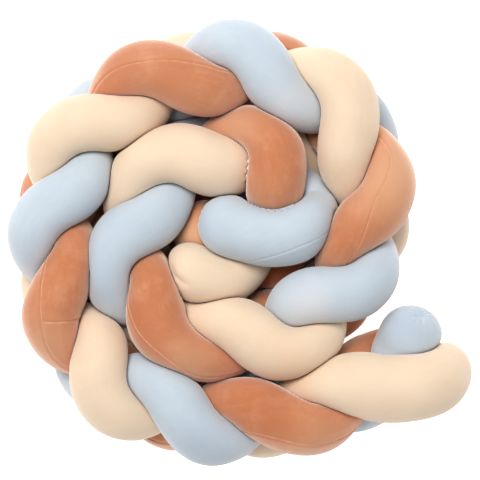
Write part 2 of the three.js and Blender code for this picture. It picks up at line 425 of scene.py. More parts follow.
RUST = StrandPlan(
    name="rust_velvet_strand",
    slot="rust_velvet",
    role=Role.RUST,
    plaited=(1.2, 18.6),
    outer_end=((0.249, -0.138, 0.042), (0.206, -0.138, 0.038), (0.162, -0.148, 0.042)),
    inner_end=((-0.014, -0.004, 0.060), (-0.044, 0.014, 0.082), (-0.080, 0.024, 0.092)),
    seam=(
        *seam_over_lobe(2, (-0.55, 74.0), (-0.40, 50.0), (-0.28, 38.0), (-0.14, 28.0), (0.00, 32.0)),
        *seam_over_lobe(2, (0.20, 52.0), (0.35, 62.0)),
        *seam_over_lobe(5, (-0.56, 38.0), (-0.35, 21.0), (-0.25, 13.0), (-0.04, 26.0), (0.20, 62.0)),
        SeamTurn(5.4, 80.0),
        *seam_over_lobe(8, (-0.45, 26.0), (-0.25, 13.0), (-0.07, 16.0), (0.21, 32.0), (0.50, 26.0)),
        *seam_over_lobe(11, (-0.45, 20.0), (-0.24, -6.0), (-0.12, -10.0), (0.03, 0.0), (0.22, 25.0)),
        *seam_over_lobe(14, (-0.39, 42.0), (-0.25, 25.0), (-0.14, 22.0), (-0.08, 30.0), (0.20, 60.0)),
        SeamTurn(17.0, 120.0),
    ),
    shifts=(
        Shift(2.4, 0.000, -0.010, -0.006, 0.25),
        Shift(4.85, -0.0045, 0.000, 0.000, 0.33),
        Shift(6.5, 0.006, -0.001, 0.000, 0.40),
        Shift(12.5, -0.006, 0.004, 0.000, 0.40),
        Shift(14.35, 0.004, 0.003, 0.000, 0.30),
        Shift(16.4, 0.008, -0.006, -0.014, 0.35),
        Shift(17.35, 0.001, -0.005, 0.006, 0.30),
        Shift(17.8, -0.006, -0.004, -0.022, 0.25),
    ),
    joins=(4.76,),
    # Patches of painted light (share over 0) and one of painted shade (share under 0).
    brushed=(
        PaintedLightPatch(0.174, 0.080, 0.055, 0.85),
        PaintedLightPatch(-0.225, -0.115, 0.035, 0.50),
        PaintedLightPatch(-0.060, -0.140, 0.035, 0.50),
        PaintedLightPatch(0.090, -0.228, 0.035, 0.40),
        PaintedLightPatch(-0.010, 0.137, 0.032, 0.60),
        PaintedLightPatch(-0.062, 0.006, 0.030, 0.95),
        PaintedLightPatch(-0.107, 0.204, 0.045, 0.20),
        PaintedLightPatch(-0.060, 0.175, 0.035, 0.20),
        PaintedLightPatch(0.034, 0.062, 0.025, 0.17),
        PaintedLightPatch(0.023, -0.191, 0.035, -0.40),
    ),
    sewing=Sewing(lip_height=0.0007, lip_width=0.0028),
)

BLUE = StrandPlan(
    name="blue_velvet_strand",
    slot="blue_velvet",
    role=Role.BLUE,
    plaited=(0.95, 17.5),
    outer_end=((0.216, -0.091, 0.117), (0.208, -0.102, 0.098), (0.197, -0.129, 0.078)),
    inner_end=(
        (0.085, 0.032, 0.104),
        (0.074, 0.017, 0.133),
        (0.039, 0.011, 0.133),
        (-0.004, 0.017, 0.127),
        (-0.049, 0.034, 0.120),
    ),
    seam=(
        *seam_under_lobes((3, 6, 9, 12, 15), 150.0),
        SeamTurn(17.75, 95.0),
        *seam_over_lobe(18, (0.03, 57.0), (0.11, 34.0), (0.26, 33.0), (0.39, 38.0)),
        *seam_over_lobe(18, (0.70, 85.0), (1.00, 120.0)),
    ),
    shifts=(
        Shift(4.5, 0.004, 0.004, 0.000, 0.40),
        Shift(5.3, 0.000, -0.006, -0.016, 0.30),
        Shift(7.5, 0.003, -0.003, 0.000, 0.40),
        Shift(15.55, 0.004, 0.006, 0.000, 0.25),
        Shift(17.4, -0.008, -0.014, -0.024, 0.30),
    ),
    # Patches of painted light (share over 0) and of painted shade (share under 0).
    brushed=(
        PaintedLightPatch(0.082, -0.080, 0.030, 0.95),
        PaintedLightPatch(0.058, 0.163, 0.030, 0.60),
        PaintedLightPatch(-0.048, -0.238, 0.035, -0.60),
        PaintedLightPatch(-0.154, -0.044, 0.030, -0.30),
        PaintedLightPatch(0.194, -0.103, 0.035, -0.65),
    ),
    sewing=Sewing(groove_depth=0.0005, lip_height=0.0002),
)


class StrandLine:
    """The middle line of one strand, from its outer end to its inner end."""

    steps_a_lobe: int = 8
    points_a_piece: int = 12
    bend_span: float = 0.25
    seam_span: float = 0.008
    seam_passes: int = 2
    end_lobes: float = 0.3

    def __init__(self, plait: Plait, plan: StrandPlan) -> None:
        """Lays the strand's route.

        Args:
            plait: The plait that the strand is in.
            plan: The strand's own sizes.
        """
        self.plait = plait
        self.plan = plan
        first, last = plan.plaited
        places = np.linspace(first, last, round((last - first) * self.steps_a_lobe) + 1)
        plaited = plait.strand(plan.role.value, places)
        for shift in plan.shifts:
            plaited[:, :3] += shift.at(places)
        outer = self._loose_knots(plan.outer_end, plaited[0], -np.arange(len(plan.outer_end), 0, -1))
        inner = self._loose_knots(plan.inner_end, plaited[-1], 1 + np.arange(len(plan.inner_end)))
        rows = knotted_spline(np.vstack([outer, plaited, inner]), self.points_a_piece)
        lengths = np.linalg.norm(np.diff(rows[:, :3], axis=0), axis=1)
        gone = np.concatenate([[0.0], np.cumsum(lengths)])
        self.length = float(gone[-1])
        self.along = np.linspace(0, self.length, len(rows))
        even = interpolated(self.along, gone, rows)
        self.points = even[:, :3]
        self.radius = even[:, 3]
        self.place = even[:, 4]
        self.heading = unit(np.gradient(self.points, axis=0))
        self.upright = self._carried_upright()

    def _loose_knots(self, bends: tuple[Place, ...], nearest: Array, steps: Array) -> Array:
        """Knots of a loose end, with the radius of the plaited knot next to it."""
        rows = [(*bend, nearest[3], nearest[4] + self.end_lobes * step) for bend, step in zip(bends, steps)]
        return np.array(rows)

    def _carried_upright(self) -> Array:
        """Carries a direction along the strand without twist.

        Returns:
            A direction across the strand at each point, straight up at its outer end.
        """
        upright = UP
        carried = []
        for heading in self.heading:
            upright = unit(upright - heading * (upright @ heading))
            carried.append(upright)
        return np.array(carried)

    def at(self, along: Array, column: Array) -> Array:
        """Values of the line between its points.

        Args:
            along: Distances from the strand's outer end.
            column: One value or one row of values for each point of the line.

        Returns:
            The values at those distances.
        """
        if column.ndim == 1:
            return np.interp(along, self.along, column)
        return interpolated(along, self.along, column)

    def nearest(self, point: Array) -> float:
        """Distance along the strand of its middle's nearest point."""
        return float(self.along[np.argmin(((self.points - point) ** 2).sum(1))])

    def distance_of(self, place: float) -> float:
        """Distance along the strand at a place counted in lobes."""
        return float(np.interp(place, self.place, self.along))

    def bend(self, along: Array) -> Array:
        """How sharply the strand bends.

        Args:
            along: Distances from the strand's outer end.

        Returns:
            Vectors towards the inside of the bend, one over its radius long.
        """
        step = self.bend_span * self.plait.full_radius
        before = np.maximum(along - step, 0)
        after = np.minimum(along + step, self.length)
        change = self.at(after, self.heading) - self.at(before, self.heading)
        return change / (after - before)[:, None]

    def seam_angle(self) -> Array:
        """Works out where the long seam runs from the places that the plan names.

        Returns:
            The seam's angle round the strand from the carried upright, at each point.
        """
        turns = self.plan.seam
        wheres = np.array([self.distance_of(turn.place) for turn in turns])
        rows = np.searchsorted(self.along, wheres)
        lean = np.radians([turn.lean for turn in turns])
        _, forward = self.plait.middle(np.array([turn.place for turn in turns]))
        outward = np.column_stack([-forward[:, 1], forward[:, 0], np.zeros(len(turns))])
        forward = np.column_stack([forward, np.zeros(len(turns))])
        facing = np.cos(lean)[:, None] * UP + np.sin(lean)[:, None] * outward
        heading = self.heading[rows]
        slip = (facing * heading).sum(1) / (forward * heading).sum(1)
        facing = facing - slip[:, None] * forward
        aside = np.cross(heading, self.upright[rows])
        angle = np.arctan2((facing * aside).sum(1), (facing * self.upright[rows]).sum(1))
        course = np.interp(self.along, wheres, np.unwrap(angle))
        for _ in range(self.seam_passes):
            course = smoothed(course, round(self.seam_span / self.along[1]))
        return course


# Stuffed strands

CAP_TILTS = np.radians([6.5, 13, 19.5, 26, 32.5, 39, 45.5, 52, 58, 63.5, 68.5, 73, 77.5, 82, 86, 90])


@dataclass
class Rings:
    """Rings of spokes along a strand; a ring of a round end has its spokes tilted towards the tip."""

    centres: Array
    along: Array
    outset: Array
    spokes: Array
    bends: Array
    radius: Array

    def joined(self, other: "Rings") -> "Rings":
        """These rings with the other ones after them."""
        pairs = zip(vars(self).values(), vars(other).values())
        return Rings(*(np.concatenate(pair) for pair in pairs))


@dataclass(frozen=True)
class Gathers:
    """A gathered, round end of a tube. Tilts are in degrees towards the tip."""

    pleats: int = 11
    pleat_depth: float = 0.0011
    unevenness: float = 1.1
    uneven_phase: float = 0.7
    from_tilt: float = 48.0
    full_tilt: float = 80.0
    tip_tilt: float = 90.0
    dimple_depth: float = 0.0045
    dimple_tilt: float = 13.0

    def depth(self, tilt: Array, angle: Array) -> Array:
        """How far the cloth is drawn in.

        Args:
            tilt: Tilts of the rings.
            angle: Angles round the tube, in radians.

        Returns:
            One depth for each ring and angle.
        """
        ramp = eased((tilt - self.from_tilt) / (self.full_tilt - self.from_tilt))
        uneven = self.unevenness * np.sin(2 * angle + self.uneven_phase)
        pleat = self.pleat_depth * (0.5 + 0.5 * np.cos(self.pleats * angle + uneven))
        return pleat * ramp + self.dimple_depth * bell(self.tip_tilt - tilt, self.dimple_tilt)


@dataclass(frozen=True)
class Lumps:
    """Soft unevenness of the filling, as a sum of long waves in space."""

    seed: int
    height: float = 0.0007
    wavelength: float = 0.070
    shortest: float = 0.7
    longest: float = 1.5
    waves: int = 14

    def at(self, points: Array) -> Array:
        """Height of the unevenness.

        Args:
            points: Points of the cloth.

        Returns:
            One height for each point.
        """
        dice = np.random.default_rng(self.seed)
        directions = unit(dice.normal(size=(self.waves, 3)))
        lengths = self.wavelength * dice.uniform(self.shortest, self.longest, self.waves)
        phases = dice.uniform(0, 2 * math.pi, self.waves)
        waves = np.cos(points @ (directions * (2 * math.pi / lengths)[:, None]).T + phases)
        return self.height * waves.sum(-1) / math.sqrt(self.waves)


@dataclass(frozen=True)
class HandStitches:
    """Running stitches along the crease between two strands, from one plan point to another."""

    name: str
    strands: tuple[Role, Role]
    thread: Role
    start: tuple[float, float]
    finish: tuple[float, float]
    count: int
    thread_radius: float
    height: float = 0.130
    search_reach: float = 0.014
    search_step: float = 0.0003

    def plan_points(self, count: int) -> Array:
        """Points on the straight way from start to finish."""
        share = np.linspace(0, 1, count)[:, None]
        return np.array(self.start) * (1 - share) + np.array(self.finish) * share

    def crease(self, tubes: list["StuffedStrand"]) -> "Crease":
        """Finds where one strand gives way to the other, seen from above.

        Args:
            tubes: All strands, before they are sewn.

        Returns:
            The crease with a hole for each end of a stitch.
        """
        one, other = (tubes[role.value] for role in self.strands)
        plan = self.plan_points(self.count)
        along = unit(plan[-1] - plan[0])
        aside = np.array([-along[1], along[0]])
        steps = np.arange(-self.search_reach, self.search_reach, self.search_step)
        holes = []
        for place in plan:
            line = place + steps[:, None] * aside
            heights = np.array([(one.top(point), other.top(point)) for point in line])
            over = heights[:, 0] > heights[:, 1]
            turns = np.flatnonzero(over[1:] != over[:-1])
            nearest = turns[np.argmin(np.abs(steps[turns]))] if len(turns) else len(steps) // 2
            holes.append((*line[nearest], heights[nearest].max()))
        return Crease(np.array(holes), self.thread)


@dataclass
class Crease:
    """A stitched crease: the holes of its thread, and the strand whose cloth swells over it."""

    holes: Array
    swelling: Role

    @property
    def middles(self) -> Array:
        """Points halfway between the holes."""
        return (self.holes[1:] + self.holes[:-1]) / 2

    @property
    def pitch(self) -> float:
        """Mean distance from hole to hole."""
        return float(np.linalg.norm(np.diff(self.holes, axis=0), axis=1).mean())


def level_rings(line: StrandLine, along: Array, turn: Array) -> Rings:
    """Rings square to a strand.

    Args:
        line: The strand's line.
        along: Distances of the rings from the strand's outer end.
        turn: Angles of each ring's spokes from the line's carried upright.

    Returns:
        The rings.
    """
    heading = unit(line.at(along, line.heading))
    upright = line.at(along, line.upright)
    upright = unit(upright - heading * (upright * heading).sum(1)[:, None])
    aside = np.cross(heading, upright)
    spokes = np.cos(turn)[..., None] * upright[:, None] + np.sin(turn)[..., None] * aside[:, None]
    centres = line.at(along, line.points)
    radius = line.at(along, line.radius)
    return Rings(centres, along, np.zeros(len(along)), spokes, line.bend(along), radius)


def with_caps(line: StrandLine, body: Rings) -> Rings:
    """Adds the rings of both round ends, their spokes tilted step by step towards the tips.

    Args:
        line: The strand's line.
        body: The strand's level rings.

    Returns:
        The rings from tip to tip.
    """
    caps = []
    count = len(CAP_TILTS)
    for row, side in ((0, -1), (-1, 1)):
        tip = side * unit(line.at(body.along[[row]], line.heading))[0]
        tilt = CAP_TILTS[::side]
        spokes = np.cos(tilt)[:, None, None] * body.spokes[row] + np.sin(tilt)[:, None, None] * tip
        centres = np.tile(body.centres[row], (count, 1))
        along = np.full(count, body.along[row])
        radius = np.full(count, body.radius[row])
        caps.append(Rings(centres, along, tilt, spokes, np.zeros((count, 3)), radius))
    return caps[0].joined(body).joined(caps[1])


class PressedForm:
    """How far a stuffed tube reaches all round, between its neighbours, the floor and its own bends.

    The cloth leaves what it is held against tangentially and turns no corner, as if it solved
    reach - give^2 * curvature of reach = free reach, with every reach inside its limit.
    """

    sides: int = 96
    row_step: float = 0.0034
    give: float = 0.013
    fullest: float = 1.06
    slimmest: float = 0.97
    passes: int = 5
    relaxing_steps: int = 60
    fullness_span: float = 0.033
    least_spread: float = 0.25
    roomy: float = 0.060
    sites: int = 480
    gap: float = 0.0004
    touching_reach: float = 2.8
    own_stretch: float = 3.8
    bend_limit: float = 0.85

    def __init__(self, lines: list[StrandLine], order: int) -> None:
        """Presses a strand into its form.

        Args:
            lines: The middle lines of all strands.
            order: Which of them is this strand's.
        """
        line = lines[order]
        round_end = line.radius[0]
        count = round((line.length - 2 * round_end) / self.row_step)
        self.along = np.linspace(round_end, line.length - round_end, count)
        self.turn = 2 * math.pi * np.arange(self.sides) / self.sides
        body = level_rings(line, self.along, np.tile(self.turn, (count, 1)))
        rings = with_caps(line, body)
        self.limits = np.minimum(self._limits(lines, order, rings), self.roomy)
        steps = np.linalg.norm(np.diff(rings.centres, axis=0), axis=1)
        steps += round_end * np.abs(np.diff(rings.outset))
        before = np.append(steps[0], steps)
        after = np.append(steps, steps[-1])
        self.pull_before = (2 * self.give**2 / (before * (before + after)))[:, None]
        self.pull_after = (2 * self.give**2 / (after * (before + after)))[:, None]
        spread = rings.radius * np.maximum(np.cos(rings.outset), self.least_spread) * self.turn[1]
        self.pull_aside = ((self.give / spread) ** 2)[:, None]
        self._swell(rings.radius, rings.outset == 0)

    def _touching_sites(self, line: StrandLine) -> tuple[Array, Array]:
        """Places where neighbours press against a strand, short of its round ends.

        Args:
            line: The strand's line.

        Returns:
            The points, and their distances from the strand's outer end.
        """
        round_end = line.radius[0]
        along = np.linspace(round_end, line.length - round_end, self.sites)
        return line.at(along, line.points), along

    def _limits(self, lines: list[StrandLine], own: int, rings: "Rings") -> Array:
        """How far each spoke of each ring may reach.

        Args:
            lines: All the strands' lines.
            own: Which of them the rings belong to.
            rings: The rings, with their centres, spokes and bends.

        Returns:
            One length for each spoke of each ring.
        """
        full = lines[own].plait.full_radius
        reach = np.full(rings.spokes.shape[:2], FAR)
        sites = [self._touching_sites(line) for line in lines]
        for index, centre in enumerate(rings.centres):
            toward = []
            for order, (points, along) in enumerate(sites):
                offset = points - centre
                near = (offset**2).sum(1) < (self.touching_reach * full) ** 2
                if order == own:
                    near &= np.abs(along - rings.along[index]) > self.own_stretch * full
                toward.append(offset[near])
            offset = np.vstack(toward)
            if len(offset):
                facing = rings.spokes[index] @ offset.T
                halfway = (offset**2).sum(1) / (2 * np.maximum(facing, TINY)) - self.gap
                reach[index] = np.where(facing > TINY, halfway, FAR).min(1)
        inward = (rings.spokes * rings.bends[:, None]).sum(2)
        reach = np.minimum(reach, np.where(inward > TINY, self.bend_limit / np.maximum(inward, TINY), FAR))
        down = -rings.spokes[:, :, 2]
        floor = rings.centres[:, 2:] / np.maximum(down, TINY)
        return np.minimum(reach, np.where(down > TINY, floor, FAR))

    def _swell(self, radius: Array, level: Array) -> None:
        """Sets the free reach of each ring, so that a tube that is squeezed flat swells where it can.

        Args:
            radius: The strand's radius at each ring.
            level: Which rings aren't part of a round end.
        """
        self.free = radius.copy()
        self.reach = np.minimum(self.free[:, None], self.limits)
        for _ in range(self.passes):
            self._relax()
            area = 0.5 * (self.turn[1] * self.reach * np.roll(self.reach, -1, axis=1)).sum(1)
            wanted = self.free * np.sqrt(math.pi * radius**2 / area)
            wanted = np.where(level, np.clip(wanted, self.slimmest * radius, self.fullest * radius), radius)
            self.free = smoothed(wanted, round(self.fullness_span / self.row_step))
        self._relax()

    def _relax(self) -> None:
        """Lets the cloth settle between its free reach and its limits."""
        total = 1 + 2 * self.pull_aside + self.pull_before + self.pull_after
        for _ in range(self.relaxing_steps):
            sides = np.roll(self.reach, 1, axis=1) + np.roll(self.reach, -1, axis=1)
            before = np.vstack([self.reach[:1], self.reach[:-1]])
            after = np.vstack([self.reach[1:], self.reach[-1:]])
            pulled = self.free[:, None] + self.pull_aside * sides
            pulled += self.pull_before * before + self.pull_after * after
            self.reach = np.minimum(pulled / total, self.limits)
            self.reach[0] = self.reach[0].mean()
            self.reach[-1] = self.reach[-1].mean()

    def at(self, along: Array, turn: Array, table: Array) -> Array:
        """A value of the form at other rings and angles.

        Args:
            along: Distances of the level rings from the strand's outer end.
            turn: Angles of the spokes of every ring, caps included.
            table: The form's reach or its limits.

        Returns:
            One value for each spoke.
        """
        caps = len(CAP_TILTS)
        rows = np.vstack([table[:caps], interpolated(along, self.along, table[caps:-caps]), table[-caps:]])
        where = np.mod(turn / self.turn[1], self.sides)
        step = where.astype(int)
        picked = [np.take_along_axis(rows, (step + shift) % self.sides, axis=1) for shift in (-1, 0, 1, 2)]
        before, start, end, after = picked
        return spline_pieces((end - before) / 2, start, end, (after - start) / 2, where - step)[0]


def ring_quads(grid: Array) -> Array:
    """Corner numbers of the faces between rings of points, given the points' numbers, one ring a row."""
    ahead = np.roll(grid, -1, axis=1)
    return np.stack([grid[:-1], ahead[:-1], ahead[1:], grid[1:]], axis=-1).reshape(-1, 4)


def placed(name: str, data: bpy.types.ID) -> bpy.types.Object:
    """Puts a mesh, a lamp or a camera in the scene.

    Args:
        name: Name of the object.
        data: What it holds.

    Returns:
        The object, at the origin.
    """
    holder = bpy.data.objects.new(name, data)
    bpy.context.scene.collection.objects.link(holder)
    return holder


class StuffedStrand:
    """One stuffed tube of velvet, sewn along its length and gathered at its ends."""

    even_step: float = 0.0036
    seam_columns: tuple[float, ...] = (0.0005, 0.0010, 0.0017, 0.0026, 0.0040, 0.0058)
    far_columns: int = 49
    join_rows: tuple[float, ...] = (-0.0034, -0.0022, -0.0013, -0.0006, 0.0, 0.0006, 0.0013, 0.0022, 0.0034)
    fine_step: float = 0.0016
    fine_beyond: float = 0.006
    stitch_probes: int = 9
    stitch_pull: float = 0.0027
    stitch_width: float = 0.0023
    swelling: float = 0.0023
    swelling_share: float = 0.28
    seam_fades_from: float = 40.0
    seam_fades_over: float = 30.0
    loose_from: float = 0.0035
    # How far from its limit the painted crease shade fades out.
    crease_shade_reach: float = 0.0030
    first_lump_seed: int = 11
    well_above: float = 0.3

    def __init__(self, lines: list[StrandLine], order: int, stitches: tuple[HandStitches, ...]) -> None:
        """Shapes the plain strand, before sewing and folds.

        Args:
            lines: The middle lines of all strands.
            order: Which of them is this strand's.
            stitches: All hand stitches.
        """
        self.order = order
        self.line = lines[order]
        self.plan = self.line.plan
        self.gathers = Gathers()
        self.lumps = Lumps(self.first_lump_seed + order)
        self.round_end = float(self.line.radius[0])
        self.angles = self._angles()
        form = PressedForm(lines, order)
        along = self._rows([sewn for sewn in stitches if self.plan.role in sewn.strands])
        turn = self.line.at(along, self.line.seam_angle())[:, None] + self.angles
        self.rings = with_caps(self.line, level_rings(self.line, along, turn))
        caps = np.ones((len(CAP_TILTS), 1))
        turn = np.vstack([caps * turn[0], turn, caps * turn[-1]])
        self.limits = form.at(along, turn, form.limits)
        self.reach = np.minimum(form.at(along, turn, form.reach), self.limits)
        self.slack = eased((self.limits - self.reach) / self.loose_from)
        points = self.surface()
        grid = np.arange(points[..., 0].size).reshape(points.shape[:2])
        self.skin = BVHTree.FromPolygons(points.reshape(-1, 3).tolist(), ring_quads(grid).tolist())

    def _rows(self, stitches: list[HandStitches]) -> Array:
        """Spaces the strand's rings, closer at joins, folds and hand stitches.

        Args:
            stitches: The hand stitches that go through the strand.

        Returns:
            Distances of the level rings from the strand's outer end.
        """
        last = self.line.length - self.round_end
        rows = np.linspace(self.round_end, last, round((last - self.round_end) / self.even_step))
        for place in self.plan.joins:
            rows = self._with_finer(rows, self.line.distance_of(place) + np.array(self.join_rows))
        routes = [(sewn.plan_points(self.stitch_probes), sewn.height) for sewn in stitches]
        routes += [(np.array(fold.points), fold.lowest) for fold in self.plan.folds]
        for plan, height in routes:
            near = [self.line.nearest(np.append(point, height)) for point in plan]
            first = max(min(near) - self.fine_beyond, self.round_end)
            finish = min(max(near) + self.fine_beyond, last)
            if finish > first:
                fine = np.linspace(first, finish, round((finish - first) / self.fine_step) + 1)
                rows = self._with_finer(rows, fine)
        return rows

    def _with_finer(self, rows: Array, fine: Array) -> Array:
        """Closes rows up in one stretch.

        Args:
            rows: Distances of the rows that there are.
            fine: Distances of the rows that take over in their stretch.

        Returns:
            Distances of all rows.
        """
        apart = self.even_step / 2
        kept = rows[(rows < fine[0] - apart) | (rows > fine[-1] + apart)]
        return np.sort(np.concatenate([kept, fine]))

    def _angles(self) -> Array:
        """Sets the spokes out, closest at the long seam.

        Returns:
            Angles round the strand from its long seam, from one side of the back to the other.
        """
        near = np.array(self.seam_columns) / self.line.plait.full_radius
        step = (math.pi - near[-1]) / self.far_columns
        far = np.linspace(near[-1], math.pi - step / 2, self.far_columns)[1:]
        side = np.concatenate([near, far])
        return np.concatenate([-side[::-1], [0.0], side])

    def surface(self) -> Array:
        """Works out where the cloth is, never below the floor.

        Returns:
            Points of the cloth, one ring a row.
        """
        points = self.rings.centres[:, None] + self.rings.spokes * self.reach[..., None]
        points[..., 2] = np.maximum(points[..., 2], 0.0)
        return points

    def top(self, place: Array) -> float:
        """Height of the plain strand over a plan point, 0 where it isn't."""
        hit = self.skin.ray_cast(Vector((*place, self.well_above)), DOWN)[0]
        return hit.z if hit else 0.0

    def sew(self, creases: list[Crease]) -> None:
        """Adds lumps, seams, gathers, folds and the pull of hand stitches to the plain form.

        Args:
            creases: Creases that are stitched and touch this strand.
        """
        points = self.surface()
        around = self.angles * self.reach
        along = self.rings.along[:, None]
        tilt = np.degrees(self.rings.outset)[:, None]
        proud = self.lumps.at(points) * self.slack
        groove, lips = self.plan.sewing.profile(around, along)
        fade = 1 - eased((tilt - self.seam_fades_from) / self.seam_fades_over)
        proud += (lips * self.slack - groove) * fade
        for place in self.plan.joins:
            groove, lips = self.plan.sewing.profile(along - self.line.distance_of(place), around)
            proud += np.where((tilt == 0) & (around > 0), lips * self.slack - groove, 0.0)
        proud -= np.where(tilt > 0, self.gathers.depth(tilt, self.angles), 0.0)
        for fold in self.plan.folds:
            proud -= fold.depth_at(points)
        for hole in (hole for crease in creases for hole in crease.holes):
            proud -= self.stitch_pull * bell(np.linalg.norm(points - hole, axis=2), self.stitch_width)
        self.reach = np.minimum(self.reach + proud, np.maximum(self.limits, self.reach))
        for crease in creases:
            way = self.swelling if crease.swelling is self.plan.role else -self.swelling
            for middle in crease.middles:
                distance = np.linalg.norm(points - middle, axis=2)
                self.reach = self.reach + way * bell(distance, self.swelling_share * crease.pitch)

    def mesh(self) -> bpy.types.Mesh:
        """Makes the strand's mesh, closed at both tips.

        Returns:
            The mesh, with a cloth map in metres and the masks of its painted light and shade.
        """
        points = self.surface()
        rows, columns = points.shape[:2]
        corners = np.vstack([points[0, :1], points[1:-1].reshape(-1, 3), points[-1, :1]])
        grid = 1 + np.arange((rows - 2) * columns).reshape(rows - 2, columns)
        first, last = np.zeros(columns, int), np.full(columns, len(corners) - 1)
        outer = np.stack([first, np.roll(grid[0], -1), grid[0]], axis=-1)
        inner = np.stack([last, grid[-1], np.roll(grid[-1], -1)], axis=-1)
        faces = [*outer.tolist(), *ring_quads(grid).tolist(), *inner.tolist()]
        mesh = bpy.data.meshes.new(self.plan.name)
        mesh.from_pydata(corners.tolist(), [], faces)
        mesh.polygons.foreach_set("use_smooth", np.ones(len(faces), bool))
        self._map_cloth(mesh)
        # Point masks of painted shade in creases, of painted light patches and of painted shade patches.
        marks = {"pressed": self._pressed(), "brushed": self._brushed(1), "ruffled": self._brushed(-1)}
        for label, table in marks.items():
            flat = np.concatenate([table[0, :1], table[1:-1].ravel(), table[-1, :1]])
            layer = mesh.attributes.new(label, "FLOAT", "POINT")
            layer.data.foreach_set("value", flat.astype(np.float32))
        mesh.validate()
        mesh.update()
        return mesh

    def _map_cloth(self, mesh: bpy.types.Mesh) -> None:
        """Adds the cloth map: metres along the strand, and metres round it from the long seam.

        Args:
            mesh: The strand's mesh.
        """
        round_it = np.append(self.angles, self.angles[0] + 2 * math.pi) * self.line.plait.full_radius
        left, right = round_it[:-1], round_it[1:]
        rows, columns = len(self.rings.along), len(left)
        arc = self.rings.outset * self.round_end
        along = np.where(np.arange(rows) < rows // 2, self.rings.along - arc, self.rings.along + arc)
        here, ahead = along[1:-2], along[2:-1]
        quads = np.empty((rows - 3, columns, 4, 2))
        quads[..., 0] = np.stack([here, here, ahead, ahead], axis=-1)[:, None]
        quads[..., 1] = np.stack([left, right, right, left], axis=-1)
        tips = np.empty((2, columns, 3, 2))
        tips[0, ..., 0] = (along[0], along[1], along[1])
        tips[1, ..., 0] = (along[-1], along[-2], along[-2])
        tips[0, ..., 1] = np.stack([(left + right) / 2, right, left], axis=-1)
        tips[1, ..., 1] = np.stack([(left + right) / 2, left, right], axis=-1)
        flat = np.concatenate([part.ravel() for part in (tips[0], quads, tips[1])])
        mesh.uv_layers.new(name="cloth").data.foreach_set("uv", flat.astype(np.float32))

    def _pressed(self) -> Array:
        """Mask of painted shade in creases: 1 where the cloth touches its limit, 0 from some way off."""
        room = np.sqrt(np.clip((self.limits - self.reach) / self.crease_shade_reach, 0, 1))
        return (1 - room) ** 2

    def _brushed(self, way: int) -> Array:
        """Works out the mask of one kind of painted patch.

        Args:
            way: 1 for the painted light patches, -1 for the painted shade ones.

        Returns:
            How strong the painted patch is, from 0 to 1, at each point.
        """
        plan = self.surface()[..., :2]
        brushed = np.zeros(plan.shape[:2])
        for patch in self.plan.brushed:
            apart = np.linalg.norm(plan - (patch.x, patch.y), axis=2)
            brushed = np.maximum(brushed, way * patch.share * bell(apart, patch.reach))
        return brushed

    def build(self, finish: "VelvetFinish") -> bpy.types.Object:
        """The strand as a Blender object that stands for its solid.

        Args:
            finish: The velvet that it is made of.

        Returns:
            The finished piece.
        """
        strand = placed(self.plan.name, self.mesh())
        strand.data.materials.append(finish.material())
        node = self.plan.slot.replace("_velvet", "_strand")
        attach(strand, "root")
        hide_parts(node)
        return strand

    def seam_line(self, sunk: float) -> Array:
        """Finds the way of the long seam's thread.

        Args:
            sunk: How far above the bottom of the groove the thread lies.

        Returns:
            Points of the seam between the round ends.
        """
        level = self.rings.outset == 0
        middle = len(self.angles) // 2
        reach = self.reach[level, middle] + sunk
        return self.rings.centres[level] + self.rings.spokes[level, middle] * reach[:, None]


# Nodes


class Socket(Enum):
    """Kinds of sockets that the node groups have."""

    NUMBER = "NodeSocketFloat"
    COUNT = "NodeSocketInt"
    COLOUR = "NodeSocketColor"
    MATERIAL = "NodeSocketMaterial"
    GEOMETRY = "NodeSocketGeometry"


class Nodes:
    """Adds nodes to a tree, their inputs filled with values or wired to other nodes' sockets."""

    mix_share: int = 0
    mix_colours: tuple[int, int] = (6, 7)
    mix_result: int = 2
    random_range: tuple[int, int] = (2, 3)
    random_result: int = 1

    def __init__(self, tree: bpy.types.NodeTree) -> None:
        """Takes the tree that the nodes go into."""
        self.tree = tree

    def fill(self, socket: Wire, value: object) -> None:
        """Wires a socket to another one, or sets its value.

        Args:
            socket: The socket.
            value: The other socket or the value.
        """
        if isinstance(value, Wire):
            self.tree.links.new(value, socket)
        else:
            socket.default_value = value

    def add(self, kind: str, inputs: Inputs | None = None, **settings: object) -> Outputs:
        """Adds a node.

        Args:
            kind: The node's type.
            inputs: Values or sockets for its inputs, by name or number.
            **settings: Properties of the node itself.

        Returns:
            The node's outputs.
        """
        node = self.tree.nodes.new(kind)
        for name, value in settings.items():
            setattr(node, name, value)
        for key, value in (inputs or {}).items():
            self.fill(node.inputs[key], value)
        return node.outputs

    def math(self, operation: str, *values: object) -> Wire:
        """What an operation makes of numbers."""
        return self.add("ShaderNodeMath", dict(enumerate(values)), operation=operation)[0]

    def noise(self, place: object, scale: object, **looks: float) -> Wire:
        """Noise at a place, finer as the scale is larger."""
        named = {name.capitalize(): value for name, value in looks.items()}
        return self.add("ShaderNodeTexNoise", {"Vector": place, "Scale": scale, **named})[0]

    def ramp(self, value: object, way: tuple[float, float], low: float = 0.0, high: float = 1.0) -> Wire:
        """A number that goes from low to high while a value goes its way."""
        return self.add("ShaderNodeMapRange", dict(enumerate((value, *way, low, high))))[0]

    def mix(self, share: object, one: object, other: object) -> Wire:
        """A colour that is the other one by a share."""
        inputs = {self.mix_share: share, **dict(zip(self.mix_colours, (one, other)))}
        return self.add("ShaderNodeMix", inputs, data_type="RGBA")[self.mix_result]

    def vector(self, x: object, y: object, z: object) -> Wire:
        """A vector of three parts."""
        return self.add("ShaderNodeCombineXYZ", {"X": x, "Y": y, "Z": z})[0]

    def random(self, between: tuple[float, float], seed: object) -> Wire:
        """A random number for each point."""
        inputs = {**dict(zip(self.random_range, between)), "Seed": seed}
        return self.add("FunctionNodeRandomValue", inputs, data_type="FLOAT")[self.random_result]


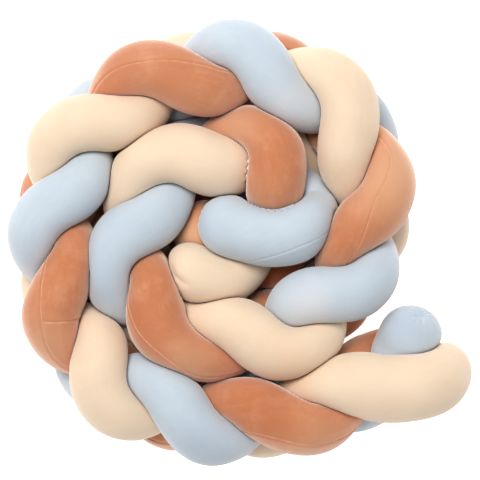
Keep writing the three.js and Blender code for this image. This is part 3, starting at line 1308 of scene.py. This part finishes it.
class Group(Nodes):
    """A node group with named inputs and one output."""

    def __init__(
        self, name: str, inputs: dict[str, Socket], output: Socket, kind: str = "ShaderNodeTree"
    ) -> None:
        """Starts a group.

        Args:
            name: The group's name.
            inputs: The kind of each input.
            output: The kind of the output.
            kind: The kind of tree.
        """
        super().__init__(bpy.data.node_groups.new(name, kind))
        for label, socket in inputs.items():
            self.tree.interface.new_socket(name=label, in_out="INPUT", socket_type=socket.value)
        self.tree.interface.new_socket(name="Result", in_out="OUTPUT", socket_type=output.value)
        self.own = self.tree.nodes.new("NodeGroupInput").outputs

    def giving(self, result: Wire) -> bpy.types.NodeTree:
        """The finished tree, with a socket as its result."""
        self.tree.links.new(result, self.tree.nodes.new("NodeGroupOutput").inputs[0])
        return self.tree


# Velvet and thread


@dataclass(frozen=True)
class Nap:
    """Velvet whose pile lies this way and that, in soft blotches and short strokes along the strand."""

    strokes: Place = (55.0, 160.0, 1.0)
    stroke_share: float = 0.35
    grain: float = 260.0
    grain_share: float = 0.22
    paler: tuple[float, float] = (0.50, 0.74)
    darker: tuple[float, float] = (0.50, 0.28)

    def tree(self) -> bpy.types.NodeTree:
        """The nap as a shader group.

        Returns:
            The group, which gives a colour.
        """
        colours = dict.fromkeys(("Colour", "Stroked", "Shadowed"), Socket.COLOUR)
        inputs = {**colours, "Blotch Size": Socket.NUMBER, "Strength": Socket.NUMBER}
        group = Group("velvet_nap", inputs, Socket.COLOUR)
        place = group.add("ShaderNodeTexCoord")
        size = group.math("DIVIDE", 1.0, group.own["Blotch Size"])
        narrow = group.add("ShaderNodeMapping", {"Vector": place["UV"], "Scale": self.strokes})[0]
        blotch = group.noise(place["Object"], size, detail=3.0, roughness=0.55, distortion=0.6)
        stroke = group.noise(narrow, 1.0, detail=2.0, roughness=0.6, distortion=0.4)
        grain = group.noise(place["Object"], self.grain, detail=2.0, roughness=0.6)
        mixed = blotch
        for noise, share in ((stroke, self.stroke_share), (grain, self.grain_share)):
            mixed = group.math("ADD", mixed, group.math("MULTIPLY_ADD", noise, share, -share / 2))
        colour = group.own["Colour"]
        for way, other in ((self.paler, "Stroked"), (self.darker, "Shadowed")):
            share = group.math("MULTIPLY", group.ramp(mixed, way), group.own["Strength"])
            colour = group.mix(share, colour, group.own[other])
        return group.giving(colour)


@dataclass(frozen=True)
class Pile:
    """The height of short velvet fibres, in tufts on soft waves."""

    tuft: float = 0.0011
    waves: float = 85.0
    wave_share: float = 1.6

    def tree(self) -> bpy.types.NodeTree:
        """The pile as a shader group.

        Returns:
            The group, which gives a height.
        """
        group = Group("velvet_pile", {"Depth": Socket.NUMBER}, Socket.NUMBER)
        place = group.add("ShaderNodeTexCoord")["Object"]
        tufts = group.noise(place, 1 / self.tuft, detail=4.0, roughness=0.65)
        waves = group.noise(place, self.waves, detail=2.0, roughness=0.5)
        height = group.math("MULTIPLY_ADD", waves, self.wave_share, tufts)
        return group.giving(group.math("MULTIPLY", height, group.own["Depth"]))


@dataclass(frozen=True)
class SeamHighlightAndShade:
    """A painted highlight: a fine pale line along a seam where light catches its ridge, broken up by noise,
    and painted shade on both its sides.
    """

    line: tuple[float, float] = (0.0011, 0.0004)
    seam_shade: tuple[float, float] = (0.0042, 0.0014)
    seam_shade_share: float = 0.18
    breakup: float = 190.0
    showing: tuple[float, float] = (0.38, 0.58)
    least_showing: float = 0.25

    def tree(self) -> bpy.types.NodeTree:
        """The seam as a shader group.

        Returns:
            The group, which gives a colour.
        """
        colours = dict.fromkeys(("Colour", "Rubbed", "Shade"), Socket.COLOUR)
        inputs = {**colours, "Join": Socket.NUMBER, "Strength": Socket.NUMBER}
        group = Group("rubbed_seam", inputs, Socket.COLOUR)
        own = group.own
        place = group.add("ShaderNodeTexCoord")
        along, aside = group.add("ShaderNodeSeparateXYZ", {0: place["UV"]})[:2]
        from_join = group.math("ABSOLUTE", group.math("SUBTRACT", along, own["Join"]))
        outer_side = group.math("LESS_THAN", aside, 0.0)
        from_join = group.math("ADD", from_join, outer_side)
        nearest = group.math("MINIMUM", group.math("ABSOLUTE", aside), from_join)
        # Noise breaks the painted highlight line up.
        breakup = group.noise(place["Object"], self.breakup, detail=2.0, roughness=0.6)
        showing = group.ramp(breakup, self.showing, low=self.least_showing)
        rubbed = group.math("MULTIPLY", group.ramp(nearest, self.line), showing)
        rubbed = group.math("MULTIPLY", rubbed, own["Strength"])
        # Painted shade on both sides of the seam.
        seam_shade = group.ramp(nearest, self.seam_shade, high=self.seam_shade_share)
        shaded = group.mix(group.math("MULTIPLY", seam_shade, own["Strength"]), own["Colour"], own["Shade"])
        return group.giving(group.mix(rubbed, shaded, own["Rubbed"]))


@dataclass(frozen=True)
class PaintedMark:
    """Another colour mixed in wherever the cloth carries a mask of painted light or painted shade."""

    mark: str

    def tree(self) -> bpy.types.NodeTree:
        """The painted mark as a shader group.

        Returns:
            The group, which gives a colour.
        """
        inputs = {"Colour": Socket.COLOUR, "Marked": Socket.COLOUR, "Strength": Socket.NUMBER}
        group = Group(self.mark + "_pile", inputs, Socket.COLOUR)
        mark = group.add("ShaderNodeAttribute", attribute_name=self.mark)["Fac"]
        share = group.math("MULTIPLY", mark, group.own["Strength"])
        return group.giving(group.mix(share, group.own["Colour"], group.own["Marked"]))


class ClothEffects:
    """The shader groups that all the velvets share, each built once."""

    def __init__(self) -> None:
        """Builds the groups."""
        self.nap = Nap().tree()
        # Painted light patches, then painted shade patches.
        self.brushed = PaintedMark("brushed").tree()
        self.ruffled = PaintedMark("ruffled").tree()
        # Painted highlight along the seams and painted shade beside them.
        self.seam = SeamHighlightAndShade().tree()
        # Painted shade in creases.
        self.pressed = PaintedMark("pressed").tree()
        self.pile = Pile().tree()


class Dressing(Nodes):
    """A material whose one shader is dressed step by step."""

    def __init__(self, name: str) -> None:
        """Starts a material.

        Args:
            name: The material's name.
        """
        self.material = bpy.data.materials.new(name)
        self.material.use_nodes = True
        super().__init__(self.material.node_tree)

    def effect(self, group: bpy.types.NodeTree, inputs: Inputs) -> Wire:
        """The result of a shared shader group."""
        return self.add("ShaderNodeGroup", inputs, node_tree=group)[0]

    def bump(self, height: Wire, strength: float) -> Wire:
        """Normals of a relief of the given height."""
        inputs = {"Height": height, "Strength": strength, "Distance": 1.0}
        return self.add("ShaderNodeBump", inputs)["Normal"]

    def finished(self, inputs: Inputs) -> bpy.types.Material:
        """Fills the shader's inputs.

        Args:
            inputs: Values or sockets by the inputs' names.

        Returns:
            The material.
        """
        shader = self.tree.nodes["Principled BSDF"]
        for name, value in inputs.items():
            self.fill(shader.inputs[name], value)
        return self.material


def linear(shade: Shade) -> tuple[float, float, float, float]:
    """A colour as seen on a screen, from 0 to 255 a part, as a shader takes it."""
    parts = [value / 255 for value in shade]
    return (*(part / 12.92 if part <= 0.04045 else ((part + 0.055) / 1.055) ** 2.4 for part in parts), 1.0)


@dataclass(frozen=True)
class VelvetFinish:
    """One colour of short-pile velvet."""

    name: str
    effects: ClothEffects
    base: Shade
    stroked: Shade
    shadowed: Shade
    sheen: Shade
    # Painted highlight colour for the seam line.
    rubbed: Shade
    # Painted shade colour for the creases.
    crease_shade_colour: Shade
    # Painted light colour, then painted shade colour, for the patches.
    brushed: Shade
    ruffled: Shade
    nap_strength: float
    blotch_size: float
    seam_strength: float
    join: float = -1.0
    sheen_weight: float = 0.5
    sheen_roughness: float = 0.5
    roughness: float = 0.92
    specular: float = 0.2
    # How strongly the painted crease shade shows.
    crease_shade_strength: float = 0.85
    pile_depth: float = 0.00022
    pile_strength: float = 0.8

    def material(self) -> bpy.types.Material:
        """The velvet, from its nap to the painted shade in its creases.

        Returns:
            The material.
        """
        dressing = Dressing(self.name)
        effects = self.effects
        nap = {
            "Colour": linear(self.base),
            "Stroked": linear(self.stroked),
            "Shadowed": linear(self.shadowed),
            "Blotch Size": self.blotch_size,
            "Strength": self.nap_strength,
        }
        colour = dressing.effect(effects.nap, nap)
        # Painted light patches, then painted shade patches.
        for effect, shade in ((effects.brushed, self.brushed), (effects.ruffled, self.ruffled)):
            colour = dressing.effect(effect, {"Colour": colour, "Marked": linear(shade), "Strength": 1.0})
        # Painted highlight along the seam line and painted shade on both its sides.
        seam = {
            "Colour": colour,
            "Rubbed": linear(self.rubbed),
            "Shade": linear(self.shadowed),
            "Join": self.join,
            "Strength": self.seam_strength,
        }
        colour = dressing.effect(effects.seam, seam)
        # Painted shade in creases, darker where the cloth nears its limits.
        pressed = {"Colour": colour, "Marked": linear(self.crease_shade_colour), "Strength": self.crease_shade_strength}
        height = dressing.effect(effects.pile, {"Depth": self.pile_depth})
        shader = {
            "Base Color": dressing.effect(effects.pressed, pressed),
            "Normal": dressing.bump(height, self.pile_strength),
            "Roughness": self.roughness,
            "Specular IOR Level": self.specular,
            "Sheen Weight": self.sheen_weight,
            "Sheen Roughness": self.sheen_roughness,
            "Sheen Tint": linear(self.sheen),
        }
        return dressing.finished(shader)


@dataclass(frozen=True)
class ThreadFinish:
    """Spun sewing thread."""

    name: str
    colour: Shade
    twist: float = 2600.0
    twist_depth: float = 0.0002
    twist_strength: float = 0.6
    dark_share: float = 0.82

    def material(self) -> bpy.types.Material:
        """The thread, with a fine twist.

        Returns:
            The material.
        """
        dressing = Dressing(self.name)
        pale = linear(self.colour)
        dark = (*(self.dark_share * part for part in pale[:3]), 1.0)
        twist = dressing.noise(dressing.add("ShaderNodeTexCoord")["Object"], self.twist, detail=2.0)
        height = dressing.math("MULTIPLY", twist, self.twist_depth)
        shader = {
            "Base Color": dressing.mix(twist, dark, pale),
            "Normal": dressing.bump(height, self.twist_strength),
            "Roughness": 0.7,
            "Sheen Weight": 0.2,
        }
        return dressing.finished(shader)


# Stitches


class StitchTree(Group):
    """A Geometry Nodes tree that lays threads and gives them their material."""

    def __init__(self, name: str, *sizes: str) -> None:
        """Starts a tree that takes a geometry, the named sizes, a thread and a seed.

        Args:
            name: The tree's name.
            *sizes: Names of the sizes.
        """
        inputs = {
            "Geometry": Socket.GEOMETRY,
            **dict.fromkeys(sizes, Socket.NUMBER),
            "Thread": Socket.MATERIAL,
            "Seed": Socket.COUNT,
        }
        super().__init__(name, inputs, Socket.GEOMETRY, "GeometryNodeTree")

    def threads(self, points: Wire, thread: Wire, turn: Wire, scale: Wire) -> bpy.types.NodeTree:
        """Finishes the tree with one real thread on each point.

        Args:
            points: The points.
            thread: One thread.
            turn: How each copy is turned.
            scale: How each copy is scaled.

        Returns:
            The finished tree.
        """
        copies = {"Points": points, "Instance": thread, "Rotation": turn, "Scale": scale}
        laid = self.add("GeometryNodeInstanceOnPoints", copies)[0]
        real = self.add("GeometryNodeRealizeInstances", {"Geometry": laid})[0]
        dressed = {"Geometry": real, "Material": self.own["Thread"]}
        return self.giving(self.add("GeometryNodeSetMaterial", dressed)[0])


def grown(
    name: str, seedbed: bpy.types.Mesh, tree: bpy.types.NodeTree, sizes: Inputs
) -> bpy.types.Object:
    """Runs a Geometry Nodes tree on a mesh and keeps its result as a piece with a plain mesh.

    Args:
        name: Name of the piece.
        seedbed: The mesh that the tree starts from.
        tree: The tree.
        sizes: Values of the tree's named inputs.

    Returns:
        The piece, without modifiers.
    """
    holder = placed(name + "_seedbed", seedbed)
    maker = holder.modifiers.new("stitches", "NODES")
    maker.node_group = tree
    for item in tree.interface.items_tree:
        if item.name in sizes:
            maker[item.identifier] = sizes[item.name]
    bpy.context.view_layer.update()
    ready = holder.evaluated_get(bpy.context.evaluated_depsgraph_get())
    mesh = bpy.data.meshes.new_from_object(ready)
    mesh.name = name
    holder.modifiers.clear()
    bpy.data.objects.remove(holder)
    piece = placed(name, mesh)
    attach(piece, "root")
    return piece


@dataclass(frozen=True)
class SeamThread:
    """The row of small stitches in the groove of a strand's long seam."""

    finish: ThreadFinish
    pitch: float = 0.0036
    stitch: float = 0.0024
    radius: float = 0.00032
    above_groove: float = 0.00015

    @staticmethod
    def tree(sides: int = 6, lengths: tuple[float, float] = (0.85, 1.1)) -> bpy.types.NodeTree:
        """Lays short threads one behind the other along a line.

        Args:
            sides: Sides of a thread.
            lengths: The shortest and the longest stitch, as shares of the usual one.

        Returns:
            The tree.
        """
        tree = StitchTree("seam_stitches", "Pitch", "Stitch Length", "Thread Radius")
        own = tree.own
        line = tree.add("GeometryNodeMeshToCurve", {"Mesh": own["Geometry"]})[0]
        spacing = {"Curve": line, "Length": own["Pitch"]}
        even = tree.add("GeometryNodeResampleCurve", spacing, mode="LENGTH")[0]
        sizes = {"Vertices": sides, "Radius": own["Thread Radius"], "Depth": own["Stitch Length"]}
        rod = tree.add("GeometryNodeMeshCylinder", {"Side Segments": 1, **sizes}, fill_type="NGON")[0]
        way = tree.add("GeometryNodeInputTangent")[0]
        turn = tree.add("FunctionNodeAlignRotationToVector", {"Vector": way}, axis="Z")[0]
        return tree.threads(even, rod, turn, tree.vector(1.0, 1.0, tree.random(lengths, own["Seed"])))

    def build(self, strand: StuffedStrand, tree: bpy.types.NodeTree) -> bpy.types.Object:
        """Sews the long seam of a strand.

        Args:
            strand: The strand.
            tree: The tree that lays stitches along a line.

        Returns:
            The stitches as one piece.
        """
        points = strand.seam_line(self.above_groove)
        name = strand.plan.slot.replace("_velvet", "_seam_stitches")
        line = bpy.data.meshes.new(name + "_line")
        edges = [(index, index + 1) for index in range(len(points) - 1)]
        line.from_pydata(points.tolist(), edges, [])
        sizes = {
            "Pitch": self.pitch,
            "Stitch Length": self.stitch,
            "Thread Radius": self.radius,
            "Thread": self.finish.material(),
            "Seed": strand.order,
        }
        return grown(name, line, tree, sizes)


@dataclass(frozen=True)
class HandThread:
    """Hand stitches that hold two strands together where they part."""

    stitches: HandStitches
    finish: ThreadFinish
    span_share: float = 0.92
    rise: float = 0.0020
    dip: float = -0.0014
    lift: float = -0.0002

    @staticmethod
    def tree(
        steps: int = 10, sides: int = 8, scales: tuple[float, float] = (0.9, 1.1)
    ) -> bpy.types.NodeTree:
        """Bows a thread over each point, both its ends diving into the crease.

        Args:
            steps: Steps along a thread.
            sides: Sides of a thread.
            scales: The smallest and the largest stitch, as shares of the usual one.

        Returns:
            The tree.
        """
        tree = StitchTree("hand_stitches", "Span", "Rise", "Dip", "Thread Radius")
        own = tree.own
        half = tree.math("MULTIPLY", own["Span"], 0.5)
        bow = {
            "Resolution": steps,
            "Start": tree.vector(tree.math("MULTIPLY", half, -1.0), 0.0, own["Dip"]),
            "Middle": tree.vector(0.0, 0.0, own["Rise"]),
            "End": tree.vector(half, 0.0, own["Dip"]),
        }
        course = tree.add("GeometryNodeCurveQuadraticBezier", bow)[0]
        girth = {"Resolution": sides, "Radius": own["Thread Radius"]}
        ring = tree.add("GeometryNodeCurvePrimitiveCircle", girth, mode="RADIUS")[0]
        thread = {"Curve": course, "Profile Curve": ring, "Fill Caps": True}
        thread = tree.add("GeometryNodeCurveToMesh", thread)[0]
        ways = [
            tree.add("GeometryNodeInputNamedAttribute", {"Name": name}, data_type="FLOAT_VECTOR")[0]
            for name in ("up", "along")
        ]
        axes = {"primary_axis": "Z", "secondary_axis": "X"}
        turn = tree.add("FunctionNodeAxesToRotation", dict(enumerate(ways)), **axes)[0]
        points = tree.add("GeometryNodeMeshToPoints", {"Mesh": own["Geometry"]})[0]
        return tree.threads(points, thread, turn, tree.random(scales, own["Seed"]))

    def build(self, crease: Crease, slot: str, tree: bpy.types.NodeTree) -> bpy.types.Object:
        """Sews along a crease.

        Args:
            crease: Where the two strands part.
            slot: The material slot that the thread belongs to; not used.
            tree: The tree that bows a thread over each point.

        Returns:
            The stitches as one piece.
        """
        along = unit(np.diff(crease.holes, axis=0))
        up = unit(UP - along * along[:, 2:])
        bed = bpy.data.meshes.new(self.stitches.name + "_points")
        bed.from_pydata((crease.middles + self.lift * up).tolist(), [], [])
        for label, vectors in (("up", up), ("along", along)):
            layer = bed.attributes.new(label, "FLOAT_VECTOR", "POINT")
            layer.data.foreach_set("vector", vectors.astype(np.float32).ravel())
        sizes = {
            "Span": self.span_share * crease.pitch,
            "Rise": self.rise,
            "Dip": self.dip,
            "Thread Radius": self.stitches.thread_radius,
            "Thread": self.finish.material(),
            "Seed": self.stitches.count,
        }
        return grown(self.stitches.name, bed, tree, sizes)


# The studio


@dataclass(frozen=True)
class SoftBox:
    """A square lamp that looks at the middle of the coil."""

    name: str
    place: Place
    side: float
    power: float

    def build(self, target: Vector) -> None:
        """Hangs the lamp.

        Args:
            target: The point that it looks at.
        """
        lamp = bpy.data.lights.new(self.name, "AREA")
        lamp.shape = "SQUARE"
        lamp.size = self.side
        lamp.energy = self.power
        holder = placed(self.name, lamp)
        holder.location = self.place
        holder.rotation_mode = "QUATERNION"
        holder.rotation_quaternion = (target - holder.location).to_track_quat("-Z", "Y")


@dataclass(frozen=True)
class Studio:
    """A pale floor, soft light from all round and a camera straight above."""

    floor_side: float = 6.0
    floor_tone: float = 0.97
    floor_glow: float = 0.9
    glow_middle: Place = (-0.06, 0.0, 0.0)
    glow_reach: tuple[float, float] = (0.155, 0.20)
    eye: Place = (-0.001, 0.0035, 2.4)
    focal_height: float = 0.130
    view_width: float = 0.5664
    sensor: float = 0.036
    nearest: float = 0.05
    farthest: float = 50.0
    sky: float = 0.27
    target: Place = (0.0, 0.0, 0.08)
    lamp: SoftBox = SoftBox("top_soft_box", (-0.75, 1.35, 4.0), 1.9, 176.0)

    def build_floor(self) -> None:
        """Lays the floor, which gives off light round the coil but not under it."""
        half = self.floor_side / 2
        mesh = bpy.data.meshes.new("studio_floor")
        corners = [(-half, -half, 0), (half, -half, 0), (half, half, 0), (-half, half, 0)]
        mesh.from_pydata(corners, [], [(0, 1, 2, 3)])
        floor = placed("studio_floor", mesh)
        paper = Dressing("studio_paper")
        place = {0: paper.add("ShaderNodeTexCoord")["Object"], 1: self.glow_middle}
        apart = paper.add("ShaderNodeVectorMath", place, operation="DISTANCE")["Value"]
        shader = {
            "Base Color": (self.floor_tone, self.floor_tone, self.floor_tone, 1.0),
            "Roughness": 0.9,
            "Specular IOR Level": 0.1,
            "Emission Color": WHITE,
            "Emission Strength": paper.ramp(apart, self.glow_reach, high=self.floor_glow),
        }
        mesh.materials.append(paper.finished(shader))

    def build_light(self) -> None:
        """Sets the sky and hangs the lamp."""
        world = bpy.data.worlds.new("studio_sky")
        world.use_nodes = True
        sky = world.node_tree.nodes["Background"]
        sky.inputs["Color"].default_value = WHITE
        sky.inputs["Strength"].default_value = self.sky
        bpy.context.scene.world = world
        self.lamp.build(Vector(self.target))

    def build_camera(self) -> None:
        """Places the camera above the coil, looking straight down with +Y up in the picture."""
        camera = bpy.data.cameras.new("photo_camera")
        camera.sensor_width = self.sensor * MILLIMETRES
        camera.lens = camera.sensor_width * (self.eye[2] - self.focal_height) / self.view_width
        camera.clip_start = self.nearest
        camera.clip_end = self.farthest
        holder = placed("photo_camera", camera)
        holder.location = self.eye
        bpy.context.scene.camera = holder

    def build(self) -> None:
        """Builds the whole studio."""
        self.build_camera()
        self.build_floor()
        self.build_light()
        bpy.context.scene.view_settings.view_transform = "Standard"


# The bumper


HAND_STITCHES = (
    HandStitches(
        name="cream_to_rust_hand_stitches",
        strands=(Role.CREAM, Role.RUST),
        thread=Role.CREAM,
        start=(0.0085, 0.0970),
        finish=(0.0075, 0.0716),
        count=4,
        thread_radius=0.0011,
    ),
    HandStitches(
        name="rust_to_blue_hand_stitches",
        strands=(Role.RUST, Role.BLUE),
        thread=Role.BLUE,
        start=(0.0110, 0.0425),
        finish=(0.0620, 0.0440),
        count=8,
        thread_radius=0.0009,
    ),
)

THREADS = (
    ThreadFinish("cream_thread", (250, 232, 208)),
    ThreadFinish("rust_thread", (226, 160, 118)),
    ThreadFinish("blue_thread", (200, 212, 224)),
)


def report(piece: bpy.types.Object) -> None:
    """Logs a finished piece."""
    LOG.info("%s has %d faces", piece.name, len(piece.data.polygons))


class Bumper:
    """The three strands with their seams and stitches."""

    def __init__(self) -> None:
        """Lays the plait."""
        plait = Plait()
        self.effects = ClothEffects()
        self.plans = (CREAM, RUST, BLUE)
        self.lines = [StrandLine(plait, plan) for plan in self.plans]

    def finishes(self) -> tuple[VelvetFinish, ...]:
        """Mixes the velvets.

        Returns:
            The finish of each strand.
        """
        cream = VelvetFinish(
            name="cream_velvet",
            effects=self.effects,
            base=(236, 211, 183),
            stroked=(241, 219, 195),
            shadowed=(228, 198, 165),
            sheen=(255, 246, 236),
            # The next four colours are painted: seam highlight, crease shade, light patches, shade patches.
            rubbed=(253, 238, 220),
            crease_shade_colour=(120, 88, 62),
            brushed=(240, 222, 206),
            ruffled=(234, 199, 165),
            nap_strength=0.35,
            blotch_size=0.060,
            seam_strength=0.5,
        )
        rust = replace(
            cream,
            name="rust_velvet",
            base=(197, 122, 81),
            stroked=(217, 152, 114),
            shadowed=(188, 109, 70),
            sheen=(255, 234, 220),
            # The next four colours are painted: seam highlight, crease shade, light patches, shade patches.
            rubbed=(243, 194, 162),
            crease_shade_colour=(92, 45, 26),
            brushed=(218, 166, 128),
            ruffled=(178, 104, 66),
            sheen_weight=1.0,
            nap_strength=0.5,
            blotch_size=0.040,
            seam_strength=0.4,
            join=self.lines[Role.RUST.value].distance_of(RUST.joins[0]),
        )
        blue = replace(
            cream,
            name="blue_velvet",
            base=(192, 204, 214),
            stroked=(207, 217, 225),
            shadowed=(182, 194, 207),
            sheen=(255, 248, 244),
            # The next four colours are painted: seam highlight, crease shade, light patches, shade patches.
            rubbed=(222, 230, 238),
            crease_shade_colour=(88, 96, 108),
            brushed=(214, 215, 218),
            ruffled=(176, 188, 202),
        )
        return cream, rust, blue

    def build(self) -> None:
        """Builds every strand with its seam, then the hand stitches."""
        orders = range(len(self.plans))
        strands = [StuffedStrand(self.lines, order, HAND_STITCHES) for order in orders]
        sewn = [(stitches.crease(strands), stitches) for stitches in HAND_STITCHES]
        seam_tree = SeamThread.tree()
        hand_tree = HandThread.tree()
        for strand, finish, thread in zip(strands, self.finishes(), THREADS):
            strand.sew([crease for crease, stitches in sewn if strand.plan.role in stitches.strands])
            report(strand.build(finish))
            report(SeamThread(thread).build(strand, seam_tree))
        for crease, stitches in sewn:
            thread = stitches.thread.value
            report(HandThread(stitches, THREADS[thread]).build(crease, self.plans[thread].slot, hand_tree))


def main() -> None:
    """Builds the studio and the bumper."""
    logging.basicConfig(level=logging.INFO, format="%(name)s: %(message)s")
    Studio().build()
    Bumper().build()


if __name__ == "__main__":
    main()
